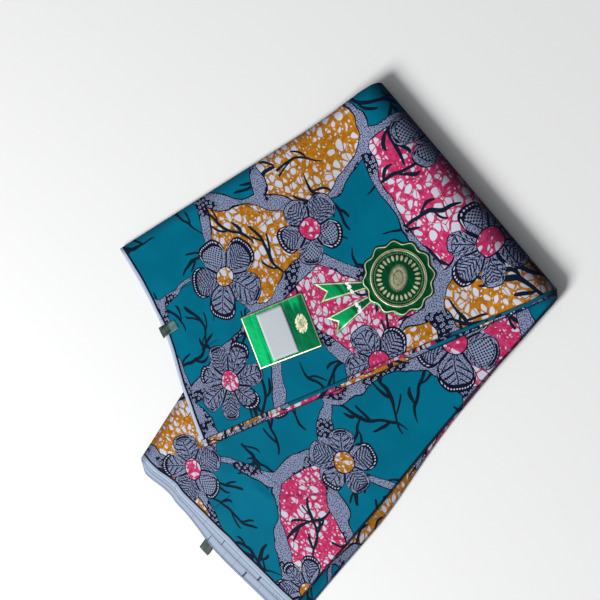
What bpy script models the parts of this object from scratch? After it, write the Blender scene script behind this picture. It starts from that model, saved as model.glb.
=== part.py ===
"""A length of wax print cloth, folded into a strip of sixteen plies and turned back on itself.

The strip runs from one selvedge to the other. It is folded over once, not square, so that an
upper stretch lies across a lower one. The part's frame has +Z up, and its origin is the middle
of the whole part's footprint, on the surface that it lies on.
"""

import math

import bmesh
import bpy

# Driving sizes of the cloth and of its folding, in metres.
CLOTH_WIDTH = 1.175
CLOTH_LENGTH = 5.486
PLIES = 16
STRIP = CLOTH_LENGTH / PLIES
STACK = 0.0085
PLY = 0.001
GAP = 0.0004

# The turned fold: each stretch leaves it at TILT from square, and the fold stands up in a soft roll.
TILT = math.radians(13.6)
TURN = math.radians(39.0)
UPPER_EDGE = 0.484
ROLL_REACH = 0.018
ROLL_HEIGHT = 0.026
SETTLE = 0.075
REST_GAP = 0.0006
DROOP = 0.075
SPINE = 0.0035
BOW = 0.0135
BOW_SKEW = 1.25
CROSSING = 0.15
SLIDE = 0.013
SLIDE_FROM = 0.20
SLIDE_TO = 0.40
END_SHARE = 0.6
END_FROM = 0.15
END_TO = 0.24
EASE = 0.25
FOLD_FOOT = (0.3330, 0.1208)

# Where the sections of both stretches lie, as shares of the way from the roll to the selvedge.
SHARES = (0.0, 0.05, 0.10, 0.16, 0.22, 0.29, 0.36, 0.43, 0.50, 0.57, 0.64, 0.71, 0.78, 0.85, 0.92, 1.0)
ROLL_STEPS = 8
ACROSS = (0.0, 0.027, 0.052, 0.084, 0.117, 0.150, 0.183, 0.202, 0.240, 0.278, 0.304, 0.324)
TAB_LINES = (6, 7)
SPINE_STEPS = 5
SPINE_END = math.radians(-50.0)

# The inner plies' edges, from the outside of the fold inwards. All values are millimetres: how
# deep a level lies under the outer face, and how far it reaches past the strip's open side on
# each stretch, less where it is set back, and past the face ply at each selvedge.
LEAVES = (
    # depth, open side up, open side down, selvedge up, selvedge down
    (1.4, -15.0, -7.0, -1.0, 31.0),
    (2.0, -13.8, -5.0, 0.5, 33.0),
    (2.7, -15.5, -7.0, -1.0, 31.5),
    (3.4, -13.8, -4.5, 0.5, 32.5),
    (4.1, -15.5, -6.5, -0.5, 30.0),
    (4.4, -2.5, -8.5, 0.5, 3.0),
    (5.1, -0.5, -6.8, 2.0, 4.5),
    (5.8, -2.5, -8.5, 0.5, 2.0),
    (6.5, -1.0, -6.8, 1.5, 2.5),
    (7.1, -3.0, -8.0, 0.0, 0.0),
)
OUTER_LEAF = (0.0, -13.0, -6.0, 0.0, 32.0)
INNER_LEAF = (8.5, -3.0, -6.0, 0.0, 0.0)

# Labels on the upper stretch. A place is the distance from the fold line and along it.
FOIL = 0.0004
LIFT = 0.0004
SEAL_AT = (0.1429, 0.1434)
SEAL_RADIUS = 0.0488
SCALLOP = 0.0022
SCALLOPS = 12
SEAL_RINGS = 3
TAILS = (
    # name, one side's start and tip, the other side's start and tip, how deep its notch is
    ("seal_tail_upper", (0.1789, 0.1674), (0.2419, 0.2133), (0.1817, 0.1571), (0.2512, 0.1859), 0.0142),
    ("seal_tail_lower", (0.1827, 0.1497), (0.2585, 0.1650), (0.1842, 0.1411), (0.2622, 0.1379), 0.0124),
)
LABEL_AT = (0.3267, 0.1926)
LABEL_SIZE = (0.108, 0.082)
LABEL_TURN = math.radians(17.5)
PANEL_AT = (0.005, 0.0)
PANEL_SIZE = (0.044, 0.071)
TAB_LENGTH = 0.029
TAB_PAST = 0.0085
TAB_SAG = 0.0035
LOW_TAB_AT = 0.1687
LOW_TAB_SIZE = (0.0165, 0.019)

COLOURS = {
    # name: colour, roughness, metallic
    "printed_cotton": ((0.02, 0.19, 0.26, 1.0), 0.62, 0.0),
    "printed_cotton_edge": ((0.10, 0.11, 0.22, 1.0), 0.70, 0.0),
    "green_foil": ((0.01, 0.16, 0.07, 1.0), 0.22, 0.6),
    "label_paper": ((0.62, 0.62, 0.60, 1.0), 0.55, 0.0),
    "green_tape": ((0.02, 0.10, 0.07, 1.0), 0.30, 0.0),
}


def smooth(share):
    """A soft step from 0 to 1."""
    share = min(1.0, max(0.0, share))
    return share * share * (3.0 - 2.0 * share)


def in_frame(from_fold, along_fold, height):
    """A point of the part, from its distance from the fold line and along it."""
    back, side = -from_fold, along_fold
    return (
        FOLD_FOOT[0] + math.cos(TURN) * back - math.sin(TURN) * side,
        FOLD_FOOT[1] + math.sin(TURN) * back + math.cos(TURN) * side,
        height,
    )


def upper_top(from_fold, along_fold):
    """The height of the upper stretch's face: high at the roll, and low past the lower stretch."""
    level = 2.0 * STACK + REST_GAP
    past_roll = smooth((from_fold - ROLL_REACH) / SETTLE)
    past_lower = from_fold * math.sin(TILT) + along_fold * math.cos(TILT) - STRIP
    drop = (STACK + REST_GAP) * smooth(past_lower / DROOP)
    return ROLL_HEIGHT + (level - ROLL_HEIGHT) * past_roll - drop


def run_length(stretch, across):
    """How long a stretch is from the fold line to its selvedge, at a distance from its open side."""
    slope = (STRIP - across) * math.tan(TILT)
    if stretch == "lower":
        return CLOTH_WIDTH - UPPER_EDGE - slope
    bow = BOW * math.sin(math.pi * min(1.0, max(0.0, across / STRIP)) ** BOW_SKEW)
    return UPPER_EDGE + slope - bow


def sections():
    """The strip's sections in order: the lower stretch from its selvedge, the roll, the upper stretch."""
    lower = [("lower", share) for share in reversed(SHARES)]
    roll = [("roll", -0.5 + step / ROLL_STEPS) for step in range(1, ROLL_STEPS)]
    upper = [("upper", share) for share in SHARES]
    return lower + roll + upper


def crossing(section):
    """0 on the lower stretch and 1 on the upper one, changing slowly round the roll."""
    stretch, share = section
    if stretch == "roll":
        return 0.5
    run = share * run_length(stretch, STRIP / 2.0)
    half = 0.5 * smooth(run / CROSSING)
    return 0.5 + half if stretch == "upper" else 0.5 - half


def strip_point(section, across, depth, past_end=0.0):
    """A point of the folded strip: across it from its open side, and deep under its outer face."""
    stretch, share = section
    if stretch == "roll":
        angle = share * math.pi
        from_fold = ROLL_REACH - (ROLL_REACH - depth) * math.cos(angle)
        height = ROLL_HEIGHT / 2.0 + (ROLL_HEIGHT / 2.0 - depth) * math.sin(angle)
        along = across / math.cos(TILT) + 2.0 * share * ROLL_REACH * math.tan(TILT)
        return in_frame(from_fold, along, height)
    start = ROLL_REACH / math.cos(TILT)
    run = start + share * (run_length(stretch, across) - start) + past_end
    from_fold = run * math.cos(TILT)
    if stretch == "lower":
        along = across / math.cos(TILT) - run * math.sin(TILT)
        return in_frame(from_fold, along, depth * (1.0 - EASE * smooth(5.0 * share - 4.0)))
    along = across / math.cos(TILT) + run * math.sin(TILT)
    return in_frame(from_fold, along, upper_top(from_fold, along) - depth)


def reach_at(section, leaf, across):
    """How far a leaf reaches past the open side and past the strip's end, at a section."""
    depth, open_up, open_down, end_up, end_down = (value / 1000.0 for value in leaf)
    stretch, share = section
    side = open_down + (open_up - open_down) * crossing(section)
    if stretch == "lower" and depth < STACK / 2.0:
        run = share * run_length(stretch, 0.0)
        side += SLIDE * smooth((run - SLIDE_FROM) / (SLIDE_TO - SLIDE_FROM))
    if stretch == "roll" or share < 1.0:
        return side, 0.0
    if stretch == "upper":
        return side, end_up
    less = (1.0 - END_SHARE) * smooth((across - END_FROM) / (END_TO - END_FROM))
    return side, end_down * (1.0 - less)


def material(name):
    """The plain material of a finish."""
    if name in bpy.data.materials:
        return bpy.data.materials[name]
    colour, roughness, metallic = COLOURS[name]
    finish = bpy.data.materials.new(name)
    finish.use_nodes = True
    shader = finish.node_tree.nodes["Principled BSDF"]
    shader.inputs["Base Color"].default_value = colour
    shader.inputs["Roughness"].default_value = roughness
    shader.inputs["Metallic"].default_value = metallic
    return finish


def border(rows, columns):
    """The places round a grid's border, in order."""
    return (
        [(0, column) for column in range(columns)]
        + [(row, columns - 1) for row in range(1, rows)]
        + [(rows - 1, column) for column in range(columns - 2, -1, -1)]
        + [(row, 0) for row in range(rows - 2, 0, -1)]
    )


def closed_layer(name, finish, rows, columns, levels, place):
    """A closed solid between two like grids, with a ring round its border for each level between."""
    mesh = bmesh.new()
    grids = {}
    for level in (0, levels - 1):
        for row in range(rows):
            for column in range(columns):
                grids[level, row, column] = mesh.verts.new(place(row, column, level))
    rim = border(rows, columns)
    for level in range(1, levels - 1):
        for row, column in rim:
            grids[level, row, column] = mesh.verts.new(place(row, column, level))

    def patch(a, b, c, d):
        for corners in ((a, b, c), (a, c, d)):
            mesh.faces.new([grids[corner] for corner in corners])

    for level in (0, levels - 1):
        for row in range(rows - 1):
            for column in range(columns - 1):
                patch(
                    (level, row, column),
                    (level, row + 1, column),
                    (level, row + 1, column + 1),
                    (level, row, column + 1),
                )
    for level in range(levels - 1):
        for here, there in zip(rim, rim[1:] + rim[:1]):
            patch((level, *here), (level, *there), (level + 1, *there), (level + 1, *here))
    bmesh.ops.recalc_face_normals(mesh, faces=mesh.faces)
    data = bpy.data.meshes.new(name)
    mesh.to_mesh(data)
    mesh.free()
    data.materials.append(material(finish))
    data.shade_smooth()
    data.set_sharp_from_angle(angle=math.radians(50.0))
    piece = bpy.data.objects.new(name, data)
    bpy.context.scene.collection.objects.link(piece)
    return piece


def face_ply():
    """The outermost ply: under the lower stretch, round the roll, over the upper one and down its spine."""
    rows = sections()
    top = math.pi / 2.0
    turns = [top + (SPINE_END - top) * step / SPINE_STEPS for step in range(SPINE_STEPS + 1)]

    def place(row, column, level):
        section = rows[row]
        inset = PLY * level
        if column < len(ACROSS):
            side, end = reach_at(section, OUTER_LEAF, ACROSS[column])
            across = ACROSS[column] - (side if column == 0 else 0.0)
            return strip_point(section, across, inset, end)
        end = reach_at(section, OUTER_LEAF, STRIP)[1]
        turn = turns[column - len(ACROSS)]
        across = STRIP - SPINE + (SPINE - inset) * math.cos(turn)
        depth = STACK / 2.0 - (STACK / 2.0 - inset) * math.sin(turn)
        return strip_point(section, across, depth, end)

    closed_layer("upper_stretch", "printed_cotton", len(rows), len(ACROSS) + len(turns), 2, place)


def back_ply():
    """The innermost ply: the face of the lower stretch, and the underside of the upper one."""
    rows = sections()
    lines = ACROSS + (STRIP - SPINE - 2.0 * GAP,)

    def place(row, column, level):
        section = rows[row]
        side, end = reach_at(section, INNER_LEAF, lines[column])
        across = lines[column] - (side if column == 0 else 0.0)
        return strip_point(section, across, STACK - PLY * (1 - level), end)

    closed_layer("lower_stretch", "printed_cotton", len(rows), len(lines), 2, place)


def inner_plies():
    """The plies between, as one rounded solid whose edges are layered."""
    rows = sections()
    lines = ACROSS + (STRIP - SPINE,)
    last_line = len(lines) - 1

    def place(row, column, level):
        section = rows[row]
        depth = LEAVES[level][0] / 1000.0
        side, end = reach_at(section, LEAVES[level], lines[column])
        across = lines[column]
        if column == 0:
            across -= side
        if column == last_line:
            room = STACK / 2.0 - PLY - GAP
            swell = math.sqrt(max(0.0, 1.0 - ((depth - STACK / 2.0) / room) ** 2))
            across += (SPINE - PLY - GAP) * swell
        return strip_point(section, across, depth, end)

    closed_layer("inner_plies", "printed_cotton_edge", len(rows), len(lines), len(LEAVES), place)


def laid_sheet(name, finish, grid, lift, thick):
    """A thin solid that lies on the upper face: rows of places from the fold line and along it."""

    def place(row, column, level):
        from_fold, along = grid[row][column]
        return in_frame(from_fold, along, upper_top(from_fold, along) + lift + thick * (1 - level))

    closed_layer(name, finish, len(grid), len(grid[0]), 2, place)


def seal_disc():
    """The round seal, with a scalloped rim, made as a wheel of rings about its middle."""
    mesh = bmesh.new()
    steps = 8 * SCALLOPS
    rings = []
    for level in range(2):
        for ring in range(1, SEAL_RINGS + 1):
            loop = []
            for step in range(steps):
                turn = 2.0 * math.pi * step / steps
                wave = SCALLOP * math.cos(SCALLOPS * turn) if ring == SEAL_RINGS else 0.0
                radius = SEAL_RADIUS * ring / SEAL_RINGS + wave
                from_fold = SEAL_AT[0] + radius * math.cos(turn)
                along = SEAL_AT[1] + radius * math.sin(turn)
                height = upper_top(from_fold, along) + 2.0 * LIFT + FOIL * (2 - level)
                loop.append(mesh.verts.new(in_frame(from_fold, along, height)))
            rings.append(loop)
    for inner, outer in ((0, 1), (1, 2), (3, 4), (4, 5), (2, 5)):
        for step in range(steps):
            after = (step + 1) % steps
            near, far = rings[inner], rings[outer]
            mesh.faces.new((near[step], near[after], far[after], far[step]))
    for centre in (0, SEAL_RINGS):
        mesh.faces.new(rings[centre])
    bmesh.ops.recalc_face_normals(mesh, faces=mesh.faces)
    data = bpy.data.meshes.new("seal_disc")
    mesh.to_mesh(data)
    mesh.free()
    data.materials.append(material("green_foil"))
    data.shade_smooth()
    data.set_sharp_from_angle(angle=math.radians(50.0))
    bpy.context.scene.collection.objects.link(bpy.data.objects.new("seal_disc", data))


def between(start, end, share):
    """The place at a share of the way from one place to another."""
    return tuple(here + share * (there - here) for here, there in zip(start, end))


def tail_grid(start, tip, other_start, other_tip, notch):
    """A ribbon tail that widens to a notched end, as rows of places."""
    middle_start = between(start, other_start, 0.5)
    middle_tip = between(tip, other_tip, 0.5)
    middle_share = 1.0 - notch / math.dist(middle_start, middle_tip)
    rows = []
    for step in range(5):
        share = step / 4.0
        middle = between(middle_start, middle_tip, share * middle_share)
        rows.append([between(other_start, other_tip, share), middle, between(start, tip, share)])
    return rows


def turned_grid(centre, size, turn, steps):
    """A turned rectangle, as rows of places."""
    rows = []
    for row in range(steps + 1):
        line = []
        for column in range(steps + 1):
            x = size[0] * (row / steps - 0.5)
            y = size[1] * (column / steps - 0.5)
            line.append(
                (
                    centre[0] + x * math.cos(turn) - y * math.sin(turn),
                    centre[1] + x * math.sin(turn) + y * math.cos(turn),
                )
            )
        rows.append(line)
    return rows


def labels():
    """The foil seal with its two tails, and the foil label with its pale panel."""
    for name, *corners, notch in TAILS:
        laid_sheet(name, "green_foil", tail_grid(*corners, notch), LIFT, FOIL)
    seal_disc()
    label = turned_grid(LABEL_AT, LABEL_SIZE, LABEL_TURN, 6)
    laid_sheet("foil_label", "green_foil", label, LIFT, FOIL)
    middle = (
        LABEL_AT[0] + PANEL_AT[0] * math.cos(LABEL_TURN) - PANEL_AT[1] * math.sin(LABEL_TURN),
        LABEL_AT[1] + PANEL_AT[0] * math.sin(LABEL_TURN) + PANEL_AT[1] * math.cos(LABEL_TURN),
    )
    panel = turned_grid(middle, PANEL_SIZE, LABEL_TURN, 4)
    laid_sheet("label_panel", "label_paper", panel, 2.0 * LIFT + FOIL, FOIL)


def tabs():
    """A tape tab over the upper selvedge, and one past the lower selvedge, on the floor."""
    upper = ("upper", 1.0)
    before = ("upper", SHARES[-2])

    def over_edge(row, column, level):
        across = ACROSS[TAB_LINES[row]]
        rise = LIFT + (1 - level) * FOIL
        if column == 2:
            return strip_point(upper, across, TAB_SAG - rise, TAB_PAST)
        edge = strip_point(upper, across, -rise, rise)
        if column == 1:
            return edge
        back = strip_point(before, across, -rise)
        return between(edge, back, TAB_LENGTH / math.dist(edge, back))

    closed_layer("tape_tab_upper", "green_tape", 2, 3, 2, over_edge)
    lower = ("lower", 1.0)

    def on_floor(row, column, level):
        across = LOW_TAB_AT + LOW_TAB_SIZE[1] * (row - 0.5)
        past = reach_at(lower, OUTER_LEAF, across)[1] + LIFT + LOW_TAB_SIZE[0] * column
        return strip_point(lower, across, FOIL * (1 - level), past)

    closed_layer("tape_tab_lower", "green_tape", 2, 2, 2, on_floor)


def clear_scene():
    """Removes what the new file holds."""
    for item in list(bpy.data.objects):
        bpy.data.objects.remove(item, do_unlink=True)


clear_scene()
face_ply()
back_ply()
inner_plies()
labels()
tabs()
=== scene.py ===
from math import atan2, cos, exp, hypot, pi, radians, sin, sqrt, tan

import bmesh
import bpy
from mathutils import Euler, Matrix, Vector, noise


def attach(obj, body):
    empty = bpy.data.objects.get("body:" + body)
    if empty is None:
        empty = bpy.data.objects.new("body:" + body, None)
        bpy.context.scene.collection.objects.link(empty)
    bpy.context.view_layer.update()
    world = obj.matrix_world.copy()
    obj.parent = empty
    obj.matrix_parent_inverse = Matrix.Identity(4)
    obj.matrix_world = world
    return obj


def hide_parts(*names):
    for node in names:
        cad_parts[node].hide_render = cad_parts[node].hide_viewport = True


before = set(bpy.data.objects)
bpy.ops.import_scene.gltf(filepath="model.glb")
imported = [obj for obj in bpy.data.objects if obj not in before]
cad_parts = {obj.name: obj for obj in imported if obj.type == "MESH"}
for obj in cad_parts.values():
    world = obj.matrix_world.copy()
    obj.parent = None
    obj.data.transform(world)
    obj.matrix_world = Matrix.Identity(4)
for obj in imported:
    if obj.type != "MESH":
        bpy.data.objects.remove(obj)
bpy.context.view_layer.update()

# Camera
# The folded cloth lies flat and is seen from above, from its turned fold towards its selvedges,
# so the fold is the near edge on the right.
camera_data = bpy.data.cameras.new("camera")
camera_data.sensor_width = 36.0
camera_data.lens = 40.8
camera = bpy.data.objects.new("camera", camera_data)
camera.location = (0.3792, 0.2123, 0.8786)
camera.rotation_euler = Euler((radians(-6.88), radians(24.14), radians(-1.84)))
bpy.context.scene.collection.objects.link(camera)
bpy.context.scene.camera = camera
bpy.context.scene.view_settings.view_transform = "Standard"


# Printed cloth
# One length of plain-woven cotton, wax printed on both sides, folded to a strip of sixteen plies
# from selvedge to selvedge and turned back on itself at a slant. This sheet is the ply that shows:
# under the lower stretch, round the fold, over the upper stretch, round the spine, and back.
CLOTH_WIDTH = 1.175
STRIP = 5.486 / 16
STACK = 0.0085
PITCH = STACK / 16
TILT = radians(13.6)
TURN = radians(39.0)
UPPER_EDGE = 0.484
ROLL_REACH = 0.036
ROLL_HEIGHT = 0.026
SETTLE = 0.058
REST_GAP = 0.0006
DROOP = 0.075
SPINE = 0.0035
BOW = 0.0135
BOW_SKEW = 1.25
CROSSING = 0.15
EASE = 0.25
FOLD_FOOT = (0.3330, 0.1208)
FIRST_FOLD = (0.0130, 0.0060)
SECOND_FOLD = (0.0078, 0.0050)
THIRD_FOLD = (0.0010, 0.0062)
SLIDE = 0.0145
SLIDE_FROM = 0.16
SLIDE_TO = 0.40
FAN = 0.031
FAN_SHARE = 0.62
FAN_FROM = 0.15
FAN_TO = 0.24
END_WAVE = 0.0032
END_WAVE_FROM = 0.245
END_WAVE_LENGTH = 0.10
CORNER_FROM = 0.322
CORNER_BACK = 0.012
CLOTH_THICK = 0.0004
SPINE_ARC = pi * sqrt((SPINE * SPINE + STACK * STACK / 4.0) / 2.0)
THIRD_HALF = 4.0 * PITCH
THIRD_REACH = 0.0026
THIRD_ARC = pi * sqrt((THIRD_HALF * THIRD_HALF + THIRD_REACH * THIRD_REACH) / 2.0)
RUN_START = ROLL_REACH / cos(TILT)
WANDER = 0.0012
FAN_UNEVEN = 0.0028
END_WAVE_RISE = 0.02
CREASES_RISE = 0.04
SPINE_RISE = 0.02
BARE_FROM = 0.30
BARE_RISE = 0.12
SLOW_WAVE = 0.0007
FINE_WAVE = 0.00022
TUCK = 0.030

# The soft creases of the cloth, in millimetres and degrees: a trough has a height below zero.
CREASES = (
    # stretch, run, across, length, turn, width, height, bend
    ("upper", 250, 60, 90, 70, 7, -1.2, 6),
    ("upper", 70, 40, 60, 84, 5, -1, -3),
    ("upper", 95, 34, 52, 78, 5.5, 1, 3),
    ("upper", 122, 42, 56, 66, 6, -0.9, 4),
    ("upper", 432, 150, 110, 8, 4.5, 1.1, 5),
    ("upper", 330, 290, 120, 24, 8, -1.3, 12),
    ("upper", 180, 260, 110, -18, 9, 1.2, -8),
    ("upper", 459, 147, 62, 32, 1.6, -0.5, 3),
    ("upper", 254, 306, 70, 57, 7, -0.9, 5),
    ("upper", 268, 322, 60, 66, 6, 0.8, -4),
    ("upper", 360, 338, 130, -4, 7, -1, 6),
    ("upper", 34, 34, 46, 74, 4.5, -1.2, 3),
    ("upper", 48, 30, 40, 80, 4.5, 1, -3),
    ("upper", 30, 235, 90, 80, 9, 0.9, 6),
    ("lower", 645, 305, 80, 76, 6, -1.6, 7),
    ("lower", 615, 300, 70, 80, 6, 1.4, -6),
    ("lower", 522, 155, 90, 84, 5.5, -1.5, 8),
    ("lower", 500, 170, 80, 76, 6, 1.5, -6),
    ("lower", 560, 270, 110, 62, 6.5, 1.4, 10),
    ("lower", 590, 240, 90, 70, 7, -1.4, -8),
    ("lower", 520, 130, 130, 52, 7.5, 1.3, 12),
    ("lower", 430, 90, 120, 64, 8, -1.3, -9),
    ("lower", 350, 60, 110, 74, 8, 1.1, 8),
)


def smooth(share):
    """A soft step from 0 to 1."""
    share = min(1.0, max(0.0, share))
    return share * share * (3.0 - 2.0 * share)


def in_frame(from_fold, along_fold, height):
    """A point of the part, from its distance from the fold line and along it."""
    x = FOLD_FOOT[0] - cos(TURN) * from_fold - sin(TURN) * along_fold
    y = FOLD_FOOT[1] - sin(TURN) * from_fold + cos(TURN) * along_fold
    return Vector((x, y, height))


def upper_top(from_fold, along_fold):
    """The height of the upper stretch's face."""
    level = 2.0 * STACK + REST_GAP
    past_roll = smooth((from_fold - ROLL_REACH) / SETTLE)
    past_lower = from_fold * sin(TILT) + along_fold * cos(TILT) - STRIP
    drop = (STACK + REST_GAP) * smooth(past_lower / DROOP)
    return ROLL_HEIGHT + (level - ROLL_HEIGHT) * past_roll - drop


def run_length(stretch, across):
    """How long a stretch is from the fold line to its selvedge."""
    slope = (STRIP - across) * tan(TILT)
    if stretch == "lower":
        return CLOTH_WIDTH - UPPER_EDGE - slope
    bow = BOW * sin(pi * min(1.0, max(0.0, across / STRIP)) ** BOW_SKEW)
    return UPPER_EDGE + slope - bow


def sections(upper_steps, roll_steps, lower_steps):
    """The strip's sections in order, from the lower selvedge round the roll to the upper one."""
    lower = [("lower", 1.0 - step / lower_steps) for step in range(lower_steps + 1)]
    roll = [("roll", -0.5 + step / roll_steps) for step in range(1, roll_steps)]
    upper = [("upper", step / upper_steps) for step in range(upper_steps + 1)]
    return lower + roll + upper


def crossing(section):
    """0 on the lower stretch and 1 on the upper one, changing slowly round the roll."""
    stretch, share = section
    if stretch == "roll":
        return 0.5
    half = 0.5 * smooth(share * run_length(stretch, STRIP / 2.0) / CROSSING)
    return 0.5 + half if stretch == "upper" else 0.5 - half


def wander(seed, section):
    """A slow uneven wave along the strip, so that no edge is ruled."""
    stretch, share = section
    run = {"upper": 0.6, "roll": 0.0, "lower": -0.6}[stretch] * share
    return WANDER * noise.noise(Vector((run * 7.0, seed * 3.7, 0.4)))


def open_edge(section, fold, slides):
    """How far in from the strip's open side a fold lies."""
    across = fold[1] + (fold[0] - fold[1]) * crossing(section)
    stretch, share = section
    if slides and stretch == "lower":
        run = share * run_length(stretch, 0.0)
        across -= SLIDE * smooth((run - SLIDE_FROM) / (SLIDE_TO - SLIDE_FROM))
    return across + wander(fold[0] * 900.0, section)


def fan_out(section, across, share_of_fan):
    """How far a ply reaches past the lower stretch's end. The ends wave, and round off at the spine."""
    if section[0] != "lower":
        return 0.0
    less = (1.0 - FAN_SHARE) * smooth((across - FAN_FROM) / (FAN_TO - FAN_FROM))
    uneven = FAN_UNEVEN * noise.noise(Vector((across * 11.0, share_of_fan * 2.3, 7.1)))
    reach = FAN * share_of_fan * (1.0 - less) + uneven * share_of_fan
    off = max(0.0, across - END_WAVE_FROM)
    wave = -END_WAVE * sin(2.0 * pi * off / END_WAVE_LENGTH) * smooth(off / END_WAVE_RISE)
    corner = CORNER_BACK * smooth((across - CORNER_FROM) / (STRIP - CORNER_FROM))
    return reach + wave - corner * share_of_fan


def crease(stretch, run, across):
    """The height of the cloth's creases and slow waves at a place."""
    total = 0.0
    for kind, at_run, at_across, length, turn, width, height, bend in CREASES:
        if kind != stretch:
            continue
        ahead, aside = 1000.0 * run - at_run, 1000.0 * across - at_across
        turn = radians(turn)
        along = 2.0 * (ahead * cos(turn) + aside * sin(turn)) / length
        if abs(along) >= 1.0:
            continue
        beside = aside * cos(turn) - ahead * sin(turn) - bend * along * along
        total += 0.001 * height * cos(along * pi / 2.0) ** 2 * exp(-((beside / width) ** 2))
    slow = noise.noise(Vector((run * 9.0, across * 13.0, 2.0 if stretch == "upper" else 5.0)))
    fine = noise.noise(Vector((run * 31.0, across * 27.0, 9.0)))
    return total + SLOW_WAVE * slow + FINE_WAVE * fine


def strip_point(section, across, depth, past_end=0.0):
    """A point of the folded strip: how far across it, and how deep under its outer face."""
    stretch, share = section
    if stretch == "roll":
        angle = share * pi
        from_fold = ROLL_REACH - (ROLL_REACH - depth) * cos(angle)
        height = ROLL_HEIGHT / 2.0 + (ROLL_HEIGHT / 2.0 - depth) * sin(angle)
        along = across / cos(TILT) + 2.0 * share * ROLL_REACH * tan(TILT)
        return in_frame(from_fold, along, height)
    run = RUN_START + share * (run_length(stretch, across) + past_end - RUN_START)
    from_fold = run * cos(TILT)
    shows = smooth((run - RUN_START) / CREASES_RISE) * smooth((STRIP - across) / SPINE_RISE)
    if stretch == "lower":
        along = across / cos(TILT) - run * sin(TILT)
        height = depth * (1.0 - EASE * smooth(5.0 * share - 4.0))
        bare = smooth((run - BARE_FROM) / BARE_RISE)
        height += crease(stretch, run, across) * shows * bare * depth / STACK
        return in_frame(from_fold, along, height)
    along = across / cos(TILT) + run * sin(TILT)
    lift = crease(stretch, run, across) * shows * max(0.0, 1.0 - depth / STACK)
    return in_frame(from_fold, along, upper_top(from_fold, along) - depth + lift)


def on_face(from_fold, along_fold, lift):
    """A point on the upper stretch's face, or lifted off it."""
    run = from_fold / cos(TILT)
    across = along_fold * cos(TILT) - from_fold * sin(TILT)
    share = (run - RUN_START) / (run_length("upper", across) - RUN_START)
    face = strip_point(("upper", share), across, 0.0)
    return Vector((face.x, face.y, face.z + lift))


def cloth_place(section, across, past_end=0.0):
    """How far a place is from the lower selvedge, measured across the cloth's width."""
    stretch, share = section
    if stretch == "lower":
        return (1.0 - share) * (run_length(stretch, across) + past_end - RUN_START)
    lower_end = run_length("lower", across) + past_end - RUN_START
    upper_start = CLOTH_WIDTH - run_length("upper", across) + RUN_START
    if stretch == "upper":
        return upper_start + share * (run_length(stretch, across) - RUN_START)
    return lower_end + (share + 0.5) * (upper_start - lower_end)


def around_strip(face_steps, spine_steps, wrap_steps, tuck_steps):
    """The stations round the folded strip, from the first fold's tuck to the third fold's tuck."""
    shown = (("first_wrap", wrap_steps), ("face", face_steps), ("spine", spine_steps),
             ("back", face_steps), ("third_wrap", wrap_steps))
    first = [("first_tuck", 1.0 - step / tuck_steps) for step in range(tuck_steps)]
    middle = [(kind, step / steps) for kind, steps in shown for step in range(steps)]
    return first + middle + [("third_tuck", step / tuck_steps) for step in range(tuck_steps + 1)]


def station_place(section, station):
    """Where a station lies: across, depth, reach past the lower end, and place along the cloth."""
    kind, share = station
    first = open_edge(section, FIRST_FOLD, True) + PITCH
    third = open_edge(section, THIRD_FOLD, False) + THIRD_REACH
    turn_at = STRIP - SPINE
    if kind == "first_tuck":
        across = first + TUCK * share
        return across, 2.0 * PITCH, 1.0, first - pi * PITCH - TUCK * share
    if kind == "first_wrap":
        angle = pi * (share - 0.5)
        across = first - PITCH * cos(angle)
        return across, PITCH * (1.0 - sin(angle)), 1.0, first - pi * PITCH * (1.0 - share)
    if kind == "face":
        across = first + (turn_at - first) * share
        return across, 0.0, 1.0, across
    if kind == "spine":
        angle = pi * (0.5 - share)
        depth = STACK / 2.0 * (1.0 - sin(angle))
        return turn_at + SPINE * cos(angle), depth, 1.0 - smooth(share), turn_at + SPINE_ARC * share
    back_from = turn_at + SPINE_ARC
    if kind == "back":
        across = turn_at + (third - turn_at) * share
        return across, STACK, 0.0, back_from + turn_at - across
    back_to = back_from + turn_at - third
    if kind == "third_wrap":
        angle = pi * (share - 0.5)
        across = third - THIRD_REACH * cos(angle)
        return across, STACK - THIRD_HALF * (1.0 + sin(angle)), 0.0, back_to + THIRD_ARC * share
    return third + TUCK * share, STACK - 2.0 * THIRD_HALF, 0.25, back_to + THIRD_ARC + TUCK * share


def fold_distance(section, station, across):
    """How far a station lies from the nearest of the sheet's two folds on the open side."""
    kind = station[0]
    if kind in ("first_wrap", "third_wrap"):
        return CLOTH_THICK
    if kind == "spine":
        return STRIP
    fold = FIRST_FOLD if kind in ("first_tuck", "face") else THIRD_FOLD
    return across - open_edge(section, fold, fold is FIRST_FOLD)


def turn_distance(section, across):
    """How far a place lies from the turned fold, seen from above."""
    stretch, share = section
    if stretch == "roll":
        return ROLL_REACH * (1.0 - cos(share * pi))
    return (RUN_START + share * (run_length(stretch, across) - RUN_START)) * cos(TILT)


def set_uvs(mesh, **maps):
    """Writes UV maps. Each holds a pair of distances in metres for every vertex."""
    for name, pairs in maps.items():
        layer = mesh.loops.layers.uv.new(name)
        for face in mesh.faces:
            for loop in face.loops:
                loop[layer].uv = pairs[loop.vert]


def grid(columns, rows):
    """A flat mesh of squares, one metre wide and long about the middle."""
    mesh = bmesh.new()
    bmesh.ops.create_grid(mesh, x_segments=columns, y_segments=rows, size=0.5)
    return mesh


def as_object(mesh, name, material):
    """Turns a finished bmesh into a smooth object."""
    data = bpy.data.meshes.new(name)
    mesh.to_mesh(data)
    mesh.free()
    data.materials.append(material)
    data.shade_smooth()
    piece = bpy.data.objects.new(name, data)
    bpy.context.scene.collection.objects.link(piece)
    return piece


def thicken(piece, thickness):
    """Gives a sheet its thickness, under its face."""
    solid = piece.modifiers.new("thickness", "SOLIDIFY")
    solid.thickness = thickness
    solid.offset = -1.0


def operator(how):
    """A plain operator that adds a Math node."""
    return lambda field, *others: field.math(how, *others)


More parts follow.
